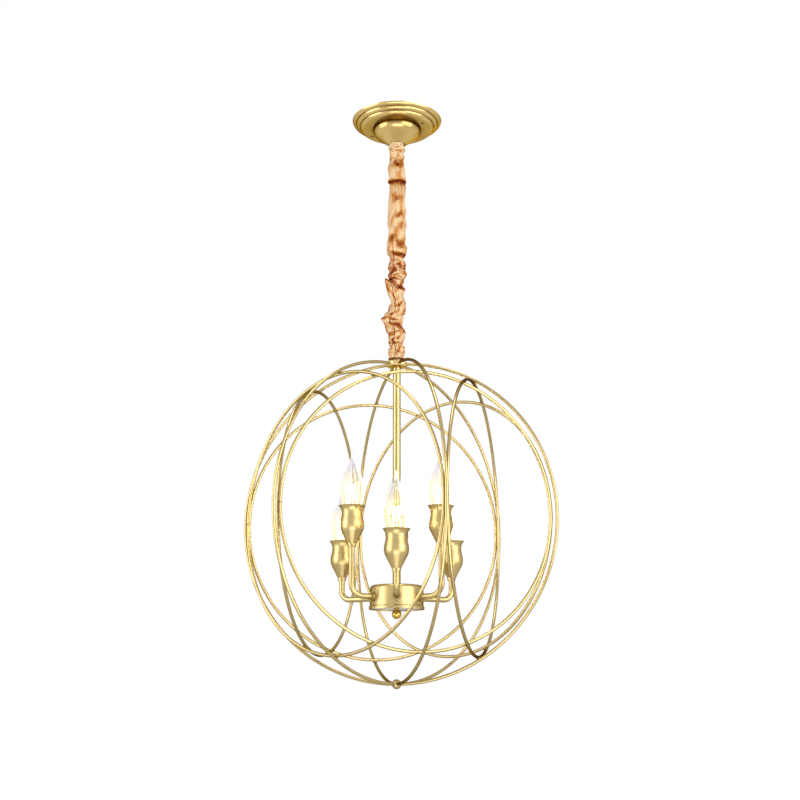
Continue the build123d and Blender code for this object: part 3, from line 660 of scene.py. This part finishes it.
def press_dents(mesh):
    """Press in the hollows that the cloth has between the links. Gives how far each point is pressed in."""
    pressed = [0.0] * len(mesh.vertices)
    for height, direction, length, tall, lean, depth in SLEEVE_DENTS:
        along, across = math.cos(math.radians(lean)), math.sin(math.radians(lean))
        for turn, rise in ((0.0, 0.0), DENT_BEHIND):
            middle = math.radians(direction + turn)
            for vertex in mesh.vertices:
                radius = vertex.co.xy.length
                off = math.atan2(vertex.co.y, vertex.co.x) - middle
                aside = radius * ((off + math.pi) % math.tau - math.pi)
                up = vertex.co.z - height - rise
                u = (aside * along + up * across) / length
                v = (up * along - aside * across) / tall
                hollow = max(0.0, 1.0 - u * u - abs(v))
                pressed[vertex.index] = max(pressed[vertex.index], hollow)
                lip = DENT_LIP * max(0.0, 1.0 - u * u - abs(v + 1.0))
                vertex.co.xy *= 1.0 - depth * (hollow - lip) / radius
    return pressed


def averaged(mesh, values):
    """Each point's value, averaged with its neighbours'."""
    total = list(values)
    count = [1] * len(values)
    for edge in mesh.edges:
        first, second = edge.vertices
        total[first] = total[first] + values[second]
        total[second] = total[second] + values[first]
        count[first] += 1
        count[second] += 1
    return [value / times for value, times in zip(total, count)]


def mark_crease_shade(mesh, pressed):
    """Store each point's painted shade: a tone by how far it lies below its neighbours and how far it is
    pressed in.
    """
    places = [vertex.co.copy() for vertex in mesh.vertices]
    for _ in range(CREASE_REACH):
        places = averaged(mesh, places)
    depths = [(places[v.index] - v.co).dot(v.normal) for v in mesh.vertices]
    depths = averaged(mesh, depths)
    crease = mesh.attributes.new("crease", "FLOAT", "POINT")
    for datum, vertex, depth, hollow in zip(crease.data, mesh.vertices, depths, pressed):
        smooth = min(1.0, max(0.0, (SMOOTH_HALF - abs(vertex.co.z - SMOOTH_MIDDLE)) / SMOOTH_FADE))
        collar = min(1.0, max(0.0, (vertex.co.z - COLLAR_BOTTOM) / COLLAR_FADE))
        tone = CREASE_MIDDLE + smooth * SMOOTH_TONE + hollow * DENT_SHADE
        tone += depth / (CREASE_DEPTH + smooth * SMOOTH_DEPTH)
        datum.value = min(1.0, max(0.0, tone)) + collar * COLLAR_TONE


def add_sleeve():
    """The gathered sleeve in place of its solid."""
    mesh = gathered_sleeve()
    mesh.name = "chain_sleeve_cloth"
    mesh.shade_smooth()
    mark_crease_shade(mesh, press_dents(mesh))
    mesh.materials.clear()
    mesh.materials.append(satin())
    sleeve = new_object("chain_sleeve_cloth", mesh)
    smooth = sleeve.modifiers.new("smooth", "SUBSURF")
    smooth.levels = smooth.render_levels = 1
    thick = sleeve.modifiers.new("thick", "SOLIDIFY")
    thick.thickness = SLEEVE_THICKNESS
    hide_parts("chain_sleeve")
    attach(sleeve, "chain")


def ring_sphere(k):
    """Distance of a ring's wire from the middle of the cage. Rings lie in two layers by turns."""
    return CAGE_RADIUS - (1 + k % 2) * (CAGE_WIRE + CAGE_TOUCH)


def add_bead(shape, centre, out):
    """Upright bead of solder, tapered to both ends."""
    side = Vector((-out.y, out.x, 0.0))
    turns = [math.tau * j / SOLDER_SIDES for j in range(SOLDER_SIDES)]
    outline = [SOLDER_DEPTH * math.cos(a) * out + SOLDER_WIDTH * math.sin(a) * side for a in turns]
    foot = Vector((0.0, 0.0, SOLDER_HALF))
    rows = [[centre - foot]]
    for i in range(1, SOLDER_STEPS):
        lift = -math.pi / 2 + math.pi * i / SOLDER_STEPS
        rows.append([centre + math.sin(lift) * foot + math.cos(lift) * point for point in outline])
    rows.append([centre + foot])
    add_skin(shape, rows, 0)


def add_cage_joints(finish):
    """Solder and wire joints where two rings of one layer meet."""
    equator = sum(corner[2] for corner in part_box("cage_ring_1")) / 2
    shape = bmesh.new()
    for k in range(len(ARMS)):
        meeting = CAGE_TURN + (k + 1) * CAGE_PITCH
        out = Vector((math.cos(meeting), math.sin(meeting), 0.0))
        sphere = ring_sphere(k)
        add_bead(shape, (sphere + SOLDER_DEPTH) * out + Vector((0.0, 0.0, equator)), out)
        aside = meeting + math.asin((CAGE_WIRE + CAGE_TOUCH) / 2 / sphere)
        wire = sphere * Vector((math.cos(aside), math.sin(aside), 0.0))
        rows = []
        for lift, proud in JOINT_OUTLINE:
            ring = ring_row(CAGE_WIRE / 2 + proud * JOINT_PROUD, equator + lift * JOINT_HALF, JOINT_SIDES)
            rows.append([wire + Vector(point) for point in ring])
        add_skin(shape, rows, 0)
    mesh = bpy.data.meshes.new("cage_joints")
    shape.to_mesh(mesh)
    shape.free()
    mesh.materials.append(finish)
    joints = new_object("cage_joints", mesh)
    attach(joints, "fixture")


def add_finishes():
    """A finish for every solid that shows."""
    canopy = metal(
        "canopy_gold", (0.66, 0.47, 0.18), (0.56, 0.39, 0.145), 0.24, (0.20, 0.11, 0.03), recess_shade=RECESS_SHADE_REACH
    )
    cage = metal("cage_gold", (0.50, 0.385, 0.175), (0.44, 0.335, 0.145), 0.23, (0.08, 0.05, 0.02))
    lamp = metal("lamp_gold", (0.51, 0.39, 0.175), (0.45, 0.34, 0.145), 0.34, (0.17, 0.12, 0.05))
    finial = metal("finial_brass", (0.55, 0.36, 0.08), (0.50, 0.32, 0.07), 0.20, (0.5, 0.35, 0.12))
    # Dark braze: heat tint of the joints, darkened further as painted shade in the wires' grooves and
    # crossings.
    braze_and_shade = metal(
        "dark_braze_and_groove_shade", (0.24, 0.16, 0.06), (0.14, 0.09, 0.03), 0.45, (0.2, 0.12, 0.05), grain=1400.0
    )
    steel = metal("zinc_steel", (0.62, 0.62, 0.60), (0.52, 0.52, 0.50), 0.38, (0.6, 0.6, 0.6))
    bright = metal("bright_brass_and_painted_light", (0.74, 0.56, 0.26), (0.66, 0.49, 0.21), 0.28, (0.4, 0.28, 0.10))
    cover = plastic("cover_paint", (0.62, 0.61, 0.57), (0.57, 0.56, 0.52), 0.45)
    terminal = plastic("terminal_plastic", (0.78, 0.77, 0.72), (0.74, 0.73, 0.68), 0.5)
    holder = plastic("holder_plastic", (0.80, 0.78, 0.72), (0.76, 0.74, 0.68), 0.4)
    dress(canopy, "canopy")
    dress(cage, "stem", "bottom_ball")
    dress(braze_and_shade, "cage_brazes")
    add_cage_joints(braze_and_shade)
    dress(lamp, "arm_hub", "arm_bushes")
    dress(finial, "finial")
    dress(cover, "hub_cover")
    dress(steel, "hanger_bar", "hanger_loop", "hanger_nut", "upper_ring", "chain_links", "lower_ring")
    dress(steel, "stem_nut", "arm_nuts")
    dress(terminal, "terminal_block", "wire_connector")
    dress(holder, "lampholders")
    # Painted light: the cage's hub and loop take this paler brass to make up for the shade the sleeve casts
    # on them; the contacts are bright brass.
    dress(bright, "cage_loop", "cage_hub", "lampholder_contacts")
    glass = bulb_glass()
    for k in ARMS:
        dress(cage, f"cage_rib_{k}", f"cage_ring_{k}")
        dress(lamp, f"arm_{k}", f"cup_{k}")
        dress(glass, f"bulb_{k}_glass")


def add_camera():
    """Camera at the photograph's viewing angle."""
    data = bpy.data.cameras.new("camera")
    data.lens = CAMERA_LENS
    data.sensor_width = CAMERA_SENSOR
    data.sensor_fit = "HORIZONTAL"
    camera = new_object("camera", data)
    camera.location = CAMERA_PLACE
    camera.rotation_euler = (math.pi / 2 + CAMERA_PITCH, 0.0, 0.0)
    bpy.context.scene.camera = camera


def add_floor():
    """Plain pale floor well below the cage."""
    half = FLOOR_HALF
    mesh = bpy.data.meshes.new("floor")
    corners = [(-half, -half, FLOOR_Z), (half, -half, FLOOR_Z), (half, half, FLOOR_Z), (-half, half, FLOOR_Z)]
    mesh.from_pydata(corners, [], [(0, 1, 2, 3)])
    material, tree, shader = new_material("floor")
    cloudy = noise(tree, coordinates(tree), scale=1.2)
    dim = tuple(FLOOR_DIM * c for c in FLOOR_COLOUR)
    tree.links.new(ramp(tree, cloudy, ((0.3, dim), (0.7, FLOOR_COLOUR))), shader.inputs["Base Color"])
    shader.inputs["Roughness"].default_value = 0.9
    shader.inputs["Emission Color"].default_value = (1.0, 1.0, 1.0, 1.0)
    shown = shown_rays(tree)
    tree.links.new(calculate(tree, "MULTIPLY", shown, FLOOR_SHOWN), shader.inputs["Emission Strength"])
    away = tree.nodes.new("ShaderNodeVectorMath")
    away.operation = "DISTANCE"
    away.inputs[1].default_value = (0.0, 0.0, FLOOR_Z)
    tree.links.new(coordinates(tree), away.inputs[0])
    far = spread(tree, away.outputs["Value"], 0.0, 1.0, FLOOR_FADE)
    clear = tree.nodes.new("ShaderNodeBsdfTransparent")
    mix_shaders(tree, calculate(tree, "MULTIPLY", shown, far), shader, clear)
    mesh.materials.append(material)
    new_object("floor", mesh)


def add_ceiling():
    """Patch of ceiling that the canopy is fixed to, painted near black for the shade within it, and seen from
    below only.
    """
    mesh = bpy.data.meshes.new("ceiling_patch")
    turns = [math.tau * j / CEILING_SIDES for j in range(CEILING_SIDES)]
    rim = [(CEILING_RADIUS * math.cos(a), -CEILING_RADIUS * math.sin(a), CEILING_Z) for a in turns]
    mesh.from_pydata(rim, [], [tuple(range(CEILING_SIDES))])
    material, tree, shader = new_material("ceiling_patch")
    mottle = noise(tree, coordinates(tree), scale=60.0)
    tones = ((0.3, CEILING_SHADE), (0.7, CEILING_PAINTED_SHADE))
    tree.links.new(ramp(tree, mottle, tones), shader.inputs["Base Color"])
    clear = tree.nodes.new("ShaderNodeBsdfTransparent")
    below = calculate(tree, "SUBTRACT", 1.0, tree.nodes.new("ShaderNodeNewGeometry").outputs["Backfacing"])
    seen = tree.nodes.new("ShaderNodeLightPath").outputs["Is Camera Ray"]
    share = calculate(tree, "MAXIMUM", seen, CEILING_SHADES)
    mix_shaders(tree, calculate(tree, "MULTIPLY", below, share), clear, shader)
    mesh.materials.append(material)
    new_object("ceiling_patch", mesh)


def add_lamps():
    """Soft lamps, all turned to the middle of the object."""
    for name, where, width, height, watts in LAMPS:
        data = bpy.data.lights.new(name, "AREA")
        data.shape = "RECTANGLE"
        data.size = width
        data.size_y = height
        data.energy = watts
        lamp = new_object(name, data)
        lamp.location = where
        lamp.rotation_euler = (Vector(LAMP_AIM) - Vector(where)).to_track_quat("-Z", "Y").to_euler()


def add_world():
    """White surroundings for the camera, metal and glass, and a softer light for the rest."""
    world = bpy.data.worlds.new("studio")
    world.use_nodes = True
    bpy.context.scene.world = world
    tree = world.node_tree
    background = tree.nodes["Background"]
    background.inputs["Color"].default_value = (1.0, 1.0, 1.0, 1.0)
    strength = spread(tree, shown_rays(tree), WORLD_SOFT, WORLD_SHOWN)
    tree.links.new(strength, background.inputs["Strength"])


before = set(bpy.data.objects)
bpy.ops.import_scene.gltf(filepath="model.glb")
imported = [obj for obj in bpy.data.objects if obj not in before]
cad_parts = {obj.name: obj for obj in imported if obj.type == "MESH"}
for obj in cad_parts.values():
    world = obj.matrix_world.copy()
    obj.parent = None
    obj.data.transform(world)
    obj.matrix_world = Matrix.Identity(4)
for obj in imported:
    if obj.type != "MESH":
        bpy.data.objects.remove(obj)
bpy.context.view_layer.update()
bpy.context.scene.view_settings.view_transform = "Standard"
add_camera()
add_world()
add_lamps()
add_floor()
add_ceiling()
add_finishes()
add_bulb_cores()
add_sleeve()
